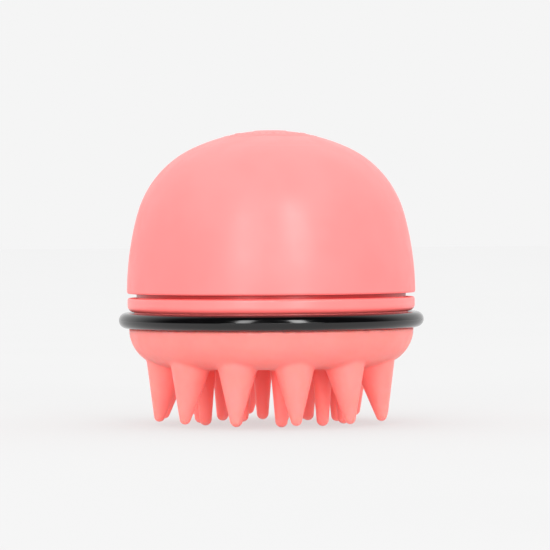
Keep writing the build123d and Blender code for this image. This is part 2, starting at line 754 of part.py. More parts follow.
with BuildPart() as dome_cover:
    with BuildSketch(Plane.XZ):
        with BuildLine():
            ThreePointArc(*outer_crown)
            ThreePointArc(*outer_shoulder)
            ThreePointArc(*outer_side)
            Polyline(outer_side[2], (0, dome_edge), outer_crown[0])
        make_face()
    revolve(axis=Axis.Z)
    # the hollow: under the flat ceiling, inside the wall, with a ledge that rests on the neck
    with BuildSketch(Plane.XZ):
        with BuildLine():
            ThreePointArc(*inner_crown)
            ThreePointArc(*inner_shoulder)
            ThreePointArc(*inner_side)
            Polyline(inner_side[2], (0, dome_edge), inner_crown[0])
        make_face()
        with Locations((0, ceiling)):
            Rectangle(body_radius, crown_radius, align=Align.MIN, mode=Mode.SUBTRACT)
        with BuildLine():
            Polyline((ledge_bore, ledge_base), (body_radius, ledge_base),
                     (body_radius, ledge_top + body_radius - ledge_bore), (ledge_bore, ledge_top), close=True)
        make_face(mode=Mode.SUBTRACT)
        with Locations((0, dome_edge)):
            Rectangle(dome_bore, ledge_base - dome_edge, align=Align.MIN)
        with Locations((0, ceiling)):
            Rectangle(pad_radius + pad_gap, dome_top - ceiling, align=Align.MIN)
    revolve(axis=Axis.Z, mode=Mode.SUBTRACT)
    with BuildSketch(Plane.XY.offset(ceiling)):
        with PolarLocations(retainer_screw_circle, 3, start_angle=90):
            Circle(screw_radius)
    extrude(amount=retainer_screw_bite + pilot_spare, mode=Mode.SUBTRACT)
    edge_ring = dome_cover.faces().sort_by(Axis.Z)[0].outer_wire().edges()
    fillet(edge_ring, edge_round)
finish(dome_cover, "dome_cover")

with BuildPart() as pad_retainer:
    with BuildSketch(Plane.XY.offset(web_base)):
        Circle(retainer_radius)
        Circle(retainer_bore, mode=Mode.SUBTRACT)
    extrude(amount=retainer_web)
    with BuildSketch(Plane.XY.offset(web_top)):
        Circle(retainer_radius)
        Circle(pad_flange_radius + retainer_gap, mode=Mode.SUBTRACT)
    extrude(amount=ceiling - web_top)
    with BuildSketch(Plane.XY.offset(web_base)):
        with PolarLocations(retainer_screw_circle, 3, start_angle=90):
            Circle(screw_radius + screw_gap)
    extrude(amount=ceiling - web_base, mode=Mode.SUBTRACT)
finish(pad_retainer, "pad_retainer")

with BuildPart() as retainer_screws:
    with PolarLocations(retainer_screw_circle, 3, start_angle=90):
        add(screw(web_base, ceiling - web_base + retainer_screw_bite, point_up=True))
finish(retainer_screws, "retainer_screws")

# ---------------------------------------------------------------- press pad
with BuildPart() as press_pad:
    with BuildSketch(Plane.XZ):
        pad_top_radius = crown_radius + pad_proud
        pad_turn = asin(pad_radius / pad_top_radius)
        pad_corner = (pad_radius, crown_center + pad_top_radius * cos(pad_turn))
        with BuildLine():
            ThreePointArc((0, dome_top + pad_proud),
                          (pad_top_radius * sin(pad_turn / 2),
                           crown_center + pad_top_radius * cos(pad_turn / 2)), pad_corner)
            Polyline(pad_corner, (pad_radius, pad_base), (0, pad_base), (0, dome_top + pad_proud))
        make_face()
    revolve(axis=Axis.Z)
    pad_rings = press_pad.edges().filter_by(GeomType.CIRCLE).filter_by(
        lambda ring: abs(ring.radius - pad_radius) < 0.01)
    fillet(pad_rings.sort_by(Axis.Z)[-1], pad_edge_round)
finish(press_pad, "press_pad")

with BuildPart() as pad_plunger:
    with BuildSketch(Plane.XY.offset(flange_level - flange_thickness)):
        Circle(pad_flange_radius)
    extrude(amount=flange_thickness)
    with BuildSketch(Plane.XY.offset(flange_level)):
        Circle(pad_radius - rest_gap)
    extrude(amount=pad_base - flange_level)
    with BuildSketch(Plane.XY.offset(plunger_base)):
        Circle(plunger_radius)
    extrude(amount=flange_level - flange_thickness - plunger_base)
finish(pad_plunger, "pad_plunger")
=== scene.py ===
import json
import math

import bmesh
import bpy
import numpy as np
from mathutils import Matrix, Vector


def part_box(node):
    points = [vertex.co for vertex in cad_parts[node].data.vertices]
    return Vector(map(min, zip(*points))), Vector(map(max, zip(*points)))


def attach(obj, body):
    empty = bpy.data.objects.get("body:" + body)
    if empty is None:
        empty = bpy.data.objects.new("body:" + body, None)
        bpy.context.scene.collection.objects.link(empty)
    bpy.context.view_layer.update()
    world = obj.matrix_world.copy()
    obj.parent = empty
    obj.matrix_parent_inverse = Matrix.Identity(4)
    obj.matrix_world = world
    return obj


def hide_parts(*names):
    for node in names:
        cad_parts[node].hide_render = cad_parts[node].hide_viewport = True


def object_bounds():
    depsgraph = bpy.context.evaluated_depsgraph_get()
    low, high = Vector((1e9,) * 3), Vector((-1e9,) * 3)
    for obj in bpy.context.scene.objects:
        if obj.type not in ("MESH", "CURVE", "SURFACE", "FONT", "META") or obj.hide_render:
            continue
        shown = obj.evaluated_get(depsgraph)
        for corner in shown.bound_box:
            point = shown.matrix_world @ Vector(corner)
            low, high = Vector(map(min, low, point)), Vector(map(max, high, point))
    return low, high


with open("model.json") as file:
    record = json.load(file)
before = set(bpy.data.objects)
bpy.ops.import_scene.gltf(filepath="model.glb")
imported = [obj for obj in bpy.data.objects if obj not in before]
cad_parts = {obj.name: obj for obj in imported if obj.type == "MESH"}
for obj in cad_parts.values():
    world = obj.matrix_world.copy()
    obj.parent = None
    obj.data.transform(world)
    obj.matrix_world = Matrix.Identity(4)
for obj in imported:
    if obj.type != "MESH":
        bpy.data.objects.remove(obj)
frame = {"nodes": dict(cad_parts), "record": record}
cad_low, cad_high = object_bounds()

# Looks of the battery scalp massager brush. Metres, +Z up, the bristle tips stand on Z = 0
# and the front is -Y. Sizes come from the frame's own boxes.

MM = 0.001
scene = bpy.context.scene
nodes = frame["nodes"]


# ---------------------------------------------------------------- material helpers
class Graph:
    """A node material under construction."""

    def __init__(self, name, **shader):
        self.material = bpy.data.materials.new(name)
        self.material.use_nodes = True
        self.tree = self.material.node_tree
        self.shader = self.tree.nodes["Principled BSDF"]
        for socket, value in shader.items():
            self.shader.inputs[socket.replace("_", " ")].default_value = value
        self.place = self.tree.nodes.new("ShaderNodeTexCoord").outputs["Object"]
        self.heights = []

    def link(self, source, target):
        self.tree.links.new(source, target)

    def noise(self, size_mm, detail=3.0, stretch=(1, 1, 1)):
        """Noise whose features are about size_mm across; stretch lengthens them along an axis."""
        mapping = self.tree.nodes.new("ShaderNodeMapping")
        mapping.inputs["Scale"].default_value = [1 / (size_mm * MM * s) for s in stretch]
        self.link(self.place, mapping.inputs["Vector"])
        texture = self.tree.nodes.new("ShaderNodeTexNoise")
        texture.inputs["Scale"].default_value = 1.0
        texture.inputs["Detail"].default_value = detail
        texture.inputs["Roughness"].default_value = 0.55
        self.link(mapping.outputs["Vector"], texture.inputs["Vector"])
        return texture.outputs["Fac"]

    def ramp(self, source, low, high, start=0.35, end=0.65):
        """A smooth change from low to high as source goes from start to end."""
        span = self.tree.nodes.new("ShaderNodeMapRange")
        span.interpolation_type = "SMOOTHSTEP"
        span.inputs["From Min"].default_value = start
        span.inputs["From Max"].default_value = end
        span.inputs["To Min"].default_value = low
        span.inputs["To Max"].default_value = high
        self.link(source, span.inputs["Value"])
        return span.outputs["Result"]

    def blend(self, factor, first, second):
        """Colour that goes from first to second; each is a colour or a socket."""
        mix = self.tree.nodes.new("ShaderNodeMix")
        mix.data_type = "RGBA"
        for name, value in (("Factor", factor), ("A", first), ("B", second)):
            socket = mix.inputs[name]
            if isinstance(value, bpy.types.NodeSocket):
                self.link(value, socket)
            elif isinstance(value, (tuple, list)):
                socket.default_value = (*value[:3], 1.0)
            else:
                socket.default_value = value
        return mix.outputs["Result"]

    def calc(self, operation, first, second=0.0):
        """A plain arithmetic node."""
        node = self.tree.nodes.new("ShaderNodeMath")
        node.operation = operation
        for socket, value in ((node.inputs[0], first), (node.inputs[1], second)):
            if isinstance(value, bpy.types.NodeSocket):
                self.link(value, socket)
            else:
                socket.default_value = value
        return node.outputs["Value"]

    def axis(self, name):
        """One coordinate of the place on the object, in metres."""
        split = self.tree.nodes.new("ShaderNodeSeparateXYZ")
        self.link(self.place, split.inputs["Vector"])
        return split.outputs[name]

    def colour(self, source):
        self.link(source, self.shader.inputs["Base Color"])

    def roughness(self, source):
        self.link(source, self.shader.inputs["Roughness"])

    def bump(self, source, height_mm, strength=1.0):
        """Adds a layer of relief of the given height."""
        node = self.tree.nodes.new("ShaderNodeBump")
        node.inputs["Distance"].default_value = height_mm * MM
        node.inputs["Strength"].default_value = strength
        self.link(source, node.inputs["Height"])
        if self.heights:
            self.link(self.heights[-1], node.inputs["Normal"])
        self.heights.append(node.outputs["Normal"])
        self.link(self.heights[-1], self.shader.inputs["Normal"])


def moulded(name, colour, shade, rough, grain_mm=0.25, grain_height=0.004, patch_mm=14.0,
            **shader):
    """Moulded plastic or rubber: soft colour drift, uneven gloss and a fine surface grain."""
    graph = Graph(name, **shader)
    drift = graph.ramp(graph.noise(patch_mm, 2.0), 0.0, 1.0, 0.3, 0.7)
    graph.colour(graph.blend(drift, colour, shade))
    graph.roughness(graph.ramp(graph.noise(patch_mm * 0.4, 4.0), rough * 0.9, rough * 1.12))
    graph.bump(graph.noise(grain_mm, 2.0), grain_height)
    return graph


def scuffed(graph, amount):
    """Sparse fine scuffs: short shallow hairlines where a coarse patch allows them."""
    hair = graph.noise(0.5, 1.0, stretch=(14, 1, 3))
    line = graph.ramp(hair, 0.0, 1.0, 0.70, 0.74)
    where = graph.ramp(graph.noise(5.0, 1.0), 0.0, 1.0, 0.64, 0.70)
    graph.bump(graph.calc("MULTIPLY", line, where), -0.01, amount)


def metal(name, colour, shade, rough, brushed=(1, 1, 1)):
    """Bare or plated metal with drawn grain and a little dulling."""
    graph = Graph(name, Metallic=1.0)
    dull = graph.ramp(graph.noise(2.5, 4.0), 0.0, 1.0, 0.35, 0.7)
    graph.colour(graph.blend(dull, colour, shade))
    graph.roughness(graph.ramp(graph.noise(0.35, 3.0, stretch=brushed), rough * 0.8, rough * 1.3))
    graph.bump(graph.noise(0.2, 2.0, stretch=brushed), 0.004)
    return graph


# ---------------------------------------------------------------- materials
CORAL = (0.98, 0.170, 0.166)
CORAL_SHADE = (0.975, 0.158, 0.154)
CASING = (0.98, 0.170, 0.163)
CASING_SHADE = (0.975, 0.160, 0.152)
# Deep red painted shade for the neck: it stands in for the shadow inside the seam between the
# flange and the dome cover.
NECK_PAINTED_SHADE = (0.44, 0.008, 0.005)
HEAD = (0.99, 0.212, 0.190)
HEAD_SHADE = (0.985, 0.198, 0.176)
BUMPER_BLACK = (0.0004, 0.0004, 0.0006)
BUMPER_SHADE = (0.0012, 0.001, 0.0013)
SEAM_GAP = 1.15 * MM                      # open joint between the flange and the dome cover


def cover_material():
    graph = moulded("cover_coral", CORAL, CORAL_SHADE, 0.38, 0.35, 0.002, 18.0,
                    Specular_IOR_Level=0.5)
    scuffed(graph, 0.25)
    return graph.material


def pad_material():
    return moulded("pad_coral", CORAL, CORAL_SHADE, 0.42, 0.18, 0.004, 9.0).material


def casing_material():
    """Coral outside, and deep red painted shade on the neck above the flange, standing in for the
    shadow in the seam gap.
    """
    graph = moulded("casing_coral", CASING, CASING_SHADE, 0.34, 0.35, 0.002, 16.0,
                    Specular_IOR_Level=0.7)
    flange_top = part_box("dome_cover")[0][2] - SEAM_GAP
    # Painted shade: above the flange top the neck turns deep red, as the shadow in the seam would
    # make it look.
    painted_neck_shade = graph.ramp(graph.axis("Z"), 0.0, 1.0, flange_top, flange_top + 0.2 * MM)
    outside = graph.shader.inputs["Base Color"].links[0].from_socket
    graph.colour(graph.blend(painted_neck_shade, outside, NECK_PAINTED_SHADE))
    scuffed(graph, 0.2)
    return graph.material


def head_material():
    """Soft rubber that lets red light through further than the rest."""
    graph = moulded("head_coral", HEAD, HEAD_SHADE, 0.46, 0.16, 0.005, 8.0, Subsurface_Weight=0.55,
                    Subsurface_Radius=(1.0, 0.12, 0.07), Subsurface_Scale=0.010)
    return graph.material


def bumper_material():
    """Glossy rubber with a fine mould line around its middle."""
    graph = moulded("bumper_black", BUMPER_BLACK, BUMPER_SHADE, 0.12, 0.22, 0.003, 7.0,
                    Specular_IOR_Level=0.62)
    low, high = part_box("bumper_ring")
    level = (low[2] + high[2]) / 2
    height = graph.calc("ABSOLUTE", graph.calc("SUBTRACT", graph.axis("Z"), level))
    graph.bump(graph.ramp(height, 1.0, 0.0, 0.03 * MM, 0.12 * MM), 0.03)
    return graph.material


def cell_material(name, way):
    """A cell, nub towards way along X: printed jacket, a band at that end, bare metal ends."""
    blue, blue_shade = (0.012, 0.022, 0.055), (0.018, 0.03, 0.065)
    band_colour, line_colour = (0.62, 0.33, 0.07), (0.75, 0.75, 0.74)
    metal_colour = (0.66, 0.66, 0.65)
    line_start, line_end, band_start = 8.4 * MM, 9.2 * MM, 10.0 * MM
    nub_end, flat_end = 21.3 * MM, -20.9 * MM
    edge = 0.1 * MM
    graph = moulded(name, blue, blue_shade, 0.22, 0.3, 0.001, 10.0)
    along = graph.calc("MULTIPLY", graph.axis("X"), way)
    jacket = graph.shader.inputs["Base Color"].links[0].from_socket
    band = graph.ramp(along, 0.0, 1.0, band_start, band_start + edge)
    line = graph.calc("MULTIPLY", graph.ramp(along, 0.0, 1.0, line_start, line_start + edge),
                      graph.ramp(along, 1.0, 0.0, line_end, line_end + edge))
    printed = graph.blend(line, graph.blend(band, jacket, band_colour), line_colour)
    end = graph.calc("MAXIMUM", graph.ramp(along, 0.0, 1.0, nub_end, nub_end + edge),
                     graph.ramp(along, 1.0, 0.0, flat_end, flat_end + edge))
    graph.colour(graph.blend(end, printed, metal_colour))
    graph.link(end, graph.shader.inputs["Metallic"])
    return graph.material


def lead_material():
    """Red sleeves on the back side, black sleeves on the front side."""
    graph = moulded("lead_sleeves", (0.5, 0.014, 0.012), (0.42, 0.012, 0.01), 0.34, 0.2, 0.001, 5.0)
    red = graph.shader.inputs["Base Color"].links[0].from_socket
    back = graph.ramp(graph.axis("Y"), 0.0, 1.0, -0.1 * MM, 0.1 * MM)
    graph.colour(graph.blend(back, (0.012, 0.012, 0.013), red))
    return graph.material


def board_material():
    """Solder mask over a fine woven laminate."""
    graph = moulded("board_green", (0.008, 0.10, 0.035), (0.012, 0.13, 0.045), 0.3, 0.3, 0.001, 6.0)
    weave = graph.tree.nodes.new("ShaderNodeTexChecker")
    weave_pitch = 0.35 * MM
    weave.inputs["Scale"].default_value = 1 / weave_pitch
    graph.link(graph.place, weave.inputs["Vector"])
    graph.bump(weave.outputs["Fac"], 0.004)
    return graph.material


MATERIALS = {
    "cover_plastic": cover_material(),
    "pad_rubber": pad_material(),
    "casing_plastic": casing_material(),
    "head_rubber": head_material(),
    "bumper_rubber": bumper_material(),
    "seal_rubber": moulded("seal_black", (0.012, 0.012, 0.013), (0.02, 0.02, 0.02), 0.55).material,
    "inner_plastic": moulded("inner_white", (0.72, 0.71, 0.68), (0.66, 0.65, 0.62), 0.42).material,
    "screw_steel": metal("screw_zinc", (0.55, 0.55, 0.56), (0.42, 0.42, 0.42), 0.3).material,
    "motor_steel": metal("motor_plated", (0.62, 0.62, 0.63), (0.5, 0.5, 0.5), 0.26,
                         (12, 1, 1)).material,
    "core_steel": metal("core_laminated", (0.22, 0.19, 0.17), (0.15, 0.13, 0.12), 0.45).material,
    "magnet_ceramic": moulded("magnet_dark", (0.05, 0.05, 0.055), (0.035, 0.035, 0.04),
                              0.5).material,
    "cap_plastic": moulded("cap_dark", (0.02, 0.02, 0.022), (0.03, 0.03, 0.03), 0.45).material,
    "weight_brass": metal("weight_brass", (0.72, 0.55, 0.28), (0.55, 0.4, 0.2), 0.28).material,
    "tab_brass": metal("tab_tinned", (0.75, 0.66, 0.45), (0.6, 0.5, 0.3), 0.32).material,
    "contact_steel": metal("contact_nickel", (0.72, 0.71, 0.68), (0.6, 0.59, 0.56), 0.2,
                           (1, 1, 8)).material,
    "cell_jacket": cell_material("cell_front_jacket", -1.0),
    "board_laminate": board_material(),
    "switch_plastic": moulded("switch_black", (0.015, 0.015, 0.017), (0.025, 0.025, 0.026),
                              0.4).material,
    "stem_plastic": moulded("stem_white", (0.75, 0.74, 0.7), (0.68, 0.67, 0.64), 0.4).material,
    "lead_insulation": lead_material(),
}
SOLDER = metal("solder", (0.70, 0.70, 0.71), (0.58, 0.58, 0.6), 0.3).material
COPPER_MASKED = moulded("track_green", (0.012, 0.17, 0.055), (0.016, 0.2, 0.065), 0.28).material
CAPACITOR = moulded("capacitor_tan", (0.42, 0.27, 0.15), (0.36, 0.22, 0.12), 0.4).material

for part in frame["record"]["subparts"]:
    mesh = nodes[part["node"]].data
    mesh.materials.clear()
    mesh.materials.append(MATERIALS[part["material_slot"]])
nodes["cell_back"].data.materials[0] = cell_material("cell_back_jacket", 1.0)


# ---------------------------------------------------------------- mesh helpers
def add_piece(name, data, slot_name, body):
    """Puts a finished mesh in the scene as a piece of the object."""
    data.polygons.foreach_set("use_smooth", [True] * len(data.polygons))
    data.materials.clear()
    data.materials.append(MATERIALS[slot_name])
    piece = bpy.data.objects.new(name, data)
    scene.collection.objects.link(piece)
    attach(piece, body)
    return piece


def joined(mesh, rings, segments):
    """Adds faces between one ring of vertices and the next; a ring of one vertex is a pole."""
    for first, second in zip(rings, rings[1:]):
        for step in range(segments):
            after = (step + 1) % segments
            corners = [first[step % len(first)], second[step % len(second)],
                       second[after % len(second)], first[after % len(first)]]
            mesh.faces.new(list(dict.fromkeys(corners)))


def turned(mesh, profile, segments, place=Matrix()):
    """Adds a closed turned body; the profile of (radius, height) runs from the axis to the axis."""
    rings = []
    for radius, height in profile:
        turns = [2 * math.pi * step / segments for step in range(segments if radius else 1)]
        spots = [Vector((radius * math.cos(t), radius * math.sin(t), height)) for t in turns]
        rings.append([mesh.verts.new(place @ spot) for spot in spots])
    joined(mesh, rings, segments)


def arc(center, radius, start, end, steps):
    """Points on an arc in the profile plane, angles in degrees."""
    turns = [math.radians(start + (end - start) * step / steps) for step in range(steps + 1)]
    return [(center[0] + radius * math.cos(t), center[1] + radius * math.sin(t)) for t in turns]


def as_mesh(name, mesh):
    """The mesh data of a bmesh, with its normals turned outward."""
    bmesh.ops.recalc_face_normals(mesh, faces=mesh.faces)
    data = bpy.data.meshes.new(name)
    mesh.to_mesh(data)
    mesh.free()
    return data


def remeshed(data, voxel):
    """One closed even mesh around overlapping bodies."""
    source = bpy.data.objects.new("remesh_source", data)
    scene.collection.objects.link(source)
    modifier = source.modifiers.new("Remesh", "REMESH")
    modifier.mode = "VOXEL"
    modifier.voxel_size = voxel
    graph = bpy.context.evaluated_depsgraph_get()
    result = bpy.data.meshes.new_from_object(source.evaluated_get(graph))
    bpy.data.objects.remove(source)
    return result


# ---------------------------------------------------------------- bristle head
bowl_low, bowl_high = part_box("bristle_bowl")
bowl_radius = bowl_high[0]
bowl_top = bowl_high[2]
bowl_crown = 0.9 * MM                     # drop of the convex underside at the axis
bowl_rim = bowl_low[2] + bowl_crown
bowl_round = bowl_top - bowl_rim          # radius of the bowl's rounded side
bowl_arc = bowl_radius - bowl_round
dish_radius = (bowl_arc**2 + bowl_crown**2) / (2 * bowl_crown)
root_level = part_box("inner_bristles")[1][2]
root_blend = 0.6 * MM                     # where a bristle runs into the bowl


class Bristle:
    """A tapered bristle with a round tip, leaning outward from root to tip."""

    def __init__(self, turn, root_circle, tip_circle, tip_level, root_radius, tip_radius):
        rise = root_level - tip_level
        lean = math.atan2(tip_circle - root_circle, rise)
        reach = math.hypot(tip_circle - root_circle, rise) - tip_radius
        self.tip_radius = tip_radius
        self.length = reach
        self.taper = math.atan2(root_radius, reach)
        self.taper -= math.asin(tip_radius / math.hypot(root_radius, reach))
        outward = np.array((math.cos(turn), math.sin(turn), 0.0))
        up = np.array((0.0, 0.0, 1.0))
        self.axis = up * math.cos(lean) - outward * math.sin(lean)
        self.tip = outward * tip_circle + up * tip_level + self.axis * tip_radius

    def distance(self, points):
        """Signed distance of points from the bristle's side and tip."""
        offset = points - self.tip
        along = offset @ self.axis
        out = np.sqrt(np.maximum((offset**2).sum(axis=1) - along**2, 0.0))
        side = out * math.cos(self.taper) - along * math.sin(self.taper) - self.tip_radius
        on_tip = along * math.cos(self.taper) + out * math.sin(self.taper) < 0
        return np.where(on_tip, np.hypot(out, along) - self.tip_radius, side)

    def body(self, mesh):
        """Adds the bristle as a turned body."""
        tip = arc((0, 0), self.tip_radius, -90, -math.degrees(self.taper), 6)
        root = (self.length * math.sin(self.taper) + self.tip_radius) / math.cos(self.taper)
        profile = [(0.0, tip[0][1])] + tip[1:] + [(root, self.length), (0.0, self.length)]
        upright = Vector(self.axis).to_track_quat("Z", "Y").to_matrix().to_4x4()
        turned(mesh, profile, 24, Matrix.Translation(self.tip) @ upright)


def bristle_ring(node, count, first_angle, root_circle, lean, root_radius, tip_radius):
    """The bristles of one CAD node, sizes in millimetres."""
    tip_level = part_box(node)[0][2]
    turns = [math.radians(first_angle + 360 * step / count) for step in range(count)]
    return [Bristle(turn, root_circle * MM, (root_circle + lean) * MM, tip_level,
                    root_radius * MM, tip_radius * MM) for turn in turns]


def bowl_distance(points):
    """Signed distance from the bowl's rounded side and convex underside."""
    out = np.hypot(points[:, 0], points[:, 1])
    side = np.hypot(out - bowl_arc, points[:, 2] - bowl_top) - bowl_round
    dish = bowl_low[2] + out**2 / (2 * dish_radius) - points[:, 2]
    return np.where(out > bowl_arc, side, dish)


def head_distance(points, bristles):
    """Signed distance from the head's outside, with soft transitions at the bristle roots."""
    field = bowl_distance(points)
    for one in bristles:
        near = one.distance(points)
        mix = np.clip(0.5 + 0.5 * (field - near) / root_blend, 0.0, 1.0)
        field = field * (1 - mix) + near * mix - root_blend * mix * (1 - mix)
    return field


def onto_head(points, bristles):
    """The points moved along the distance's slope until they lie on the head's outside."""
    probe = 0.02 * MM
    least = 0.2                           # keeps a step short where the slope is weak
    for _ in range(3):
        field = head_distance(points, bristles)
        beside = [head_distance(points + probe * way, bristles) for way in np.eye(3)]
        slope = np.stack([(other - field) / probe for other in beside], 1)
        steep = np.maximum((slope**2).sum(axis=1), least)
        points = points - field[:, None] * slope / steep[:, None]
    return points


def soft_head():
    """Bowl and bristles as the one soft moulding they are."""
    bristles = bristle_ring("outer_bristles", count=12, first_angle=-78.0, root_circle=28.0,
                            lean=2.3, root_radius=5.5, tip_radius=1.45)
    bristles += bristle_ring("middle_bristles", count=10, first_angle=-82.6, root_circle=19.2,
                             lean=0.0, root_radius=2.9, tip_radius=1.6)
    bristles += bristle_ring("inner_bristles", count=5, first_angle=-72.0, root_circle=9.5,
                             lean=0.0, root_radius=2.9, tip_radius=1.6)
    mesh = bmesh.new()
    floor_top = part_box("head_plate")[0][2]
    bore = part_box("head_plate")[1][0]
    corner = 2.0 * MM                     # bevel of the bowl's inner corner
    dish = [(bowl_arc * step / 8, bowl_low[2] + bowl_crown * (step / 8)**2) for step in range(8)]
    side = arc((bowl_arc, bowl_top), bowl_round, -90, 0, 16)
    inside = [(bore, bowl_top), (bore, floor_top + corner), (bore - corner, floor_top),
              (0.0, floor_top)]
    turned(mesh, dish + side + inside, 160)
    for one in bristles:
        one.body(mesh)
    voxel = 0.42 * MM
    reach = 0.45 * MM                     # how far a vertex may lie from the exact surface
    rim_margin = 1.2 * MM                 # the bowl's upper edge stays as remeshed
    data = remeshed(as_mesh("bristle_head", mesh), voxel)
    points = np.empty(3 * len(data.vertices))
    data.vertices.foreach_get("co", points)
    points = points.reshape(-1, 3)
    near = np.abs(head_distance(points, bristles)) < reach
    outside = near & (points[:, 2] < bowl_top - rim_margin)
    points[outside] = onto_head(points[outside], bristles)
    data.vertices.foreach_set("co", points.ravel())
    data.update()
    piece = add_piece("bristle_head", data, "head_rubber", "base")
    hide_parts("bristle_bowl", "outer_bristles", "middle_bristles", "inner_bristles")


# ---------------------------------------------------------------- press pad
def smooth_step(value, start, end):
    """0 below start, 1 above end and smooth between."""
    share = min(max((value - start) / (end - start), 0.0), 1.0)
    return share * share * (3 - 2 * share)


def mark(distance, half_width):
    """A moulded stroke's height as a share, with soft sides."""
    side = 0.18 * MM
    return 1 - smooth_step(distance, half_width, half_width + side)


def pad_relief(x, y):
    """Height of the moulded marks on the pad: a groove, a ring of dots and a plain on-off mark."""
    relief, depth = 0.12 * MM, 0.16 * MM
    groove_circle, dot_circle, ring_circle = 10.9 * MM, 9.0 * MM, 3.9 * MM
    bar_middle, bar_half_length = 3.3 * MM, 1.5 * MM
    groove_half, dot_radius, stroke_half = 0.15 * MM, 0.32 * MM, 0.38 * MM
    out = math.hypot(x, y)
    turn = math.atan2(y, x)
    groove = mark(abs(out - groove_circle), groove_half)
    spacing = 2 * math.pi / 30
    off = (turn + spacing / 2) % spacing - spacing / 2
    dot = mark(math.hypot(out - dot_circle, off * out), dot_radius)
    from_top = abs((turn - math.pi / 2 + math.pi) % (2 * math.pi) - math.pi)
    ring = mark(abs(out - ring_circle), stroke_half)
    ring *= smooth_step(from_top, math.radians(28), math.radians(33))
    bar = mark(abs(x), stroke_half) * mark(abs(y - bar_middle) - bar_half_length, 0.0)
    return relief * max(dot, ring, bar) - depth * groove


def soft_pad():
    """The press pad with its crowned face, rounded edge and moulded marks."""
    low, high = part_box("press_pad")
    radius = high[0]
    crown = 48.7 * MM                     # radius of the crowned face
    edge = 0.35 * MM
    across = 0.16 * MM                    # between two rings of vertices
    steps = int((radius - edge) / across)
    segments = 360
    mesh = bmesh.new()
    rows = [[mesh.verts.new((0, 0, high[2]))]]
    turns = [2 * math.pi * n / segments for n in range(segments)]
    for step in range(1, steps + 1):
        out = (radius - edge) * step / steps
        face = high[2] - crown + math.sqrt(crown**2 - out**2)
        spots = [(out * math.cos(t), out * math.sin(t)) for t in turns]
        rows.append([mesh.verts.new((x, y, face + pad_relief(x, y))) for x, y in spots])
    rounded = arc((radius - edge, face - edge), edge, 70, 0, 5)
    for out, level in rounded + [(radius, low[2]), (0.0, low[2])]:
        around = turns if out else turns[:1]
        spots = [(out * math.cos(t), out * math.sin(t), level) for t in around]
        rows.append([mesh.verts.new(spot) for spot in spots])
    joined(mesh, rows, segments)
    piece = add_piece("press_pad_soft", as_mesh("press_pad_soft", mesh), "pad_rubber", "button")
    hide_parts("press_pad")


# ---------------------------------------------------------------- board parts
board_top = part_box("switch_board")[1][2]


def box(mesh, center, size, base, edge=0.12):
    """Adds a block with bevelled edges standing on base; sizes in millimetres."""
    place = Matrix.Translation((center[0] * MM, center[1] * MM, base + size[2] * MM / 2))
    sized = place @ Matrix.Diagonal((size[0] * MM, size[1] * MM, size[2] * MM, 1.0))
    block = bmesh.ops.create_cube(mesh, size=1.0, matrix=sized)
    edges = list({e for v in block["verts"] for e in v.link_edges})
    bmesh.ops.bevel(mesh, geom=edges, offset=edge * MM, segments=2, affect="EDGES", profile=0.6)


def blob(mesh, center, radius, height, base):
    """Adds a solder joint: a small dome with a concave foot."""
    rise = [(radius * (1 - 0.62 * math.sin(t)), height * (1 - math.cos(t))) for t in
            (math.radians(90) * step / 8 for step in range(9))]
    cap = [(radius * 0.38 * math.cos(t), height + radius * 0.2 * math.sin(t)) for t in
           (math.radians(90) * step / 4 for step in range(1, 4))]
    place = Matrix.Translation((center[0] * MM, center[1] * MM, base))
    profile = [(0.0, 0.0)] + rise + cap + [(0.0, height + radius * 0.2)]
    turned(mesh, [(out * MM, up * MM) for out, up in profile], 20, place)


def sharp_piece(name, mesh, slot_name, material, body):
    """A piece of hard small parts, shaded flat across its corners."""
    piece = add_piece(name, as_mesh(name, mesh), slot_name, body)
    piece.data.materials[0] = material
    piece.data.set_sharp_from_angle(angle=math.radians(40))
    return piece


def board_parts():
    """The driver chip, a switching transistor, a diode and four capacitors, with their ends."""
    chip_x, chip_y, chip_size = -5.5, 11.5, (4.9, 3.9, 1.5)
    switch_x, switch_y, switch_size = 5.5, 11.0, (2.9, 1.4, 1.0)
    diode_x, diode_y, diode_size = 7.5, -12.0, (4.3, 2.6, 1.6)
    leg_pitch, leg_reach, leg_bend, leg_edge = 1.27, 2.5, 0.45, 0.05
    foot, upright, short_foot = (0.42, 1.2, 0.2), (0.42, 0.25, 0.85), (0.42, 0.9, 0.2)
    stand_off = 0.1 * MM
    chips = bmesh.new()
    box(chips, (chip_x, chip_y), chip_size, board_top + stand_off)
    box(chips, (switch_x, switch_y), switch_size, board_top + stand_off)
    box(chips, (diode_x, diode_y), diode_size, board_top)
    legs = bmesh.new()
    for side in (-1, 1):
        for step in range(4):
            leg_x, leg_y = chip_x + leg_pitch * (step - 1.5), chip_y + side * leg_reach
            box(legs, (leg_x, leg_y), foot, board_top, leg_edge)
            box(legs, (leg_x, leg_y - side * leg_bend), upright, board_top, leg_edge)
        box(legs, (switch_x + side * 0.95, switch_y - 0.95), short_foot, board_top, leg_edge)
        box(legs, (diode_x + side * 2.3, diode_y), (0.7, 1.8, 1.1), board_top, 0.08)
    box(legs, (switch_x, switch_y + 0.95), short_foot, board_top, leg_edge)
    capacitors = bmesh.new()
    capacitor_size, cap_size, cap_shift = (1.5, 1.25, 0.8), (0.45, 1.27, 0.84), 0.95
    for x, y in ((0.8, 12.5), (0.8, 9.8), (-7.0, -11.0), (-1.0, -13.0)):
        box(capacitors, (x, y), capacitor_size, board_top)
        for side in (-1, 1):
            box(legs, (x + side * cap_shift, y), cap_size, board_top, 0.06)
    sharp_piece("board_chips", chips, "switch_plastic", MATERIALS["switch_plastic"], "base")
    sharp_piece("board_terminals", legs, "contact_steel", SOLDER, "base")
    sharp_piece("board_capacitors", capacitors, "magnet_ceramic", CAPACITOR, "base")


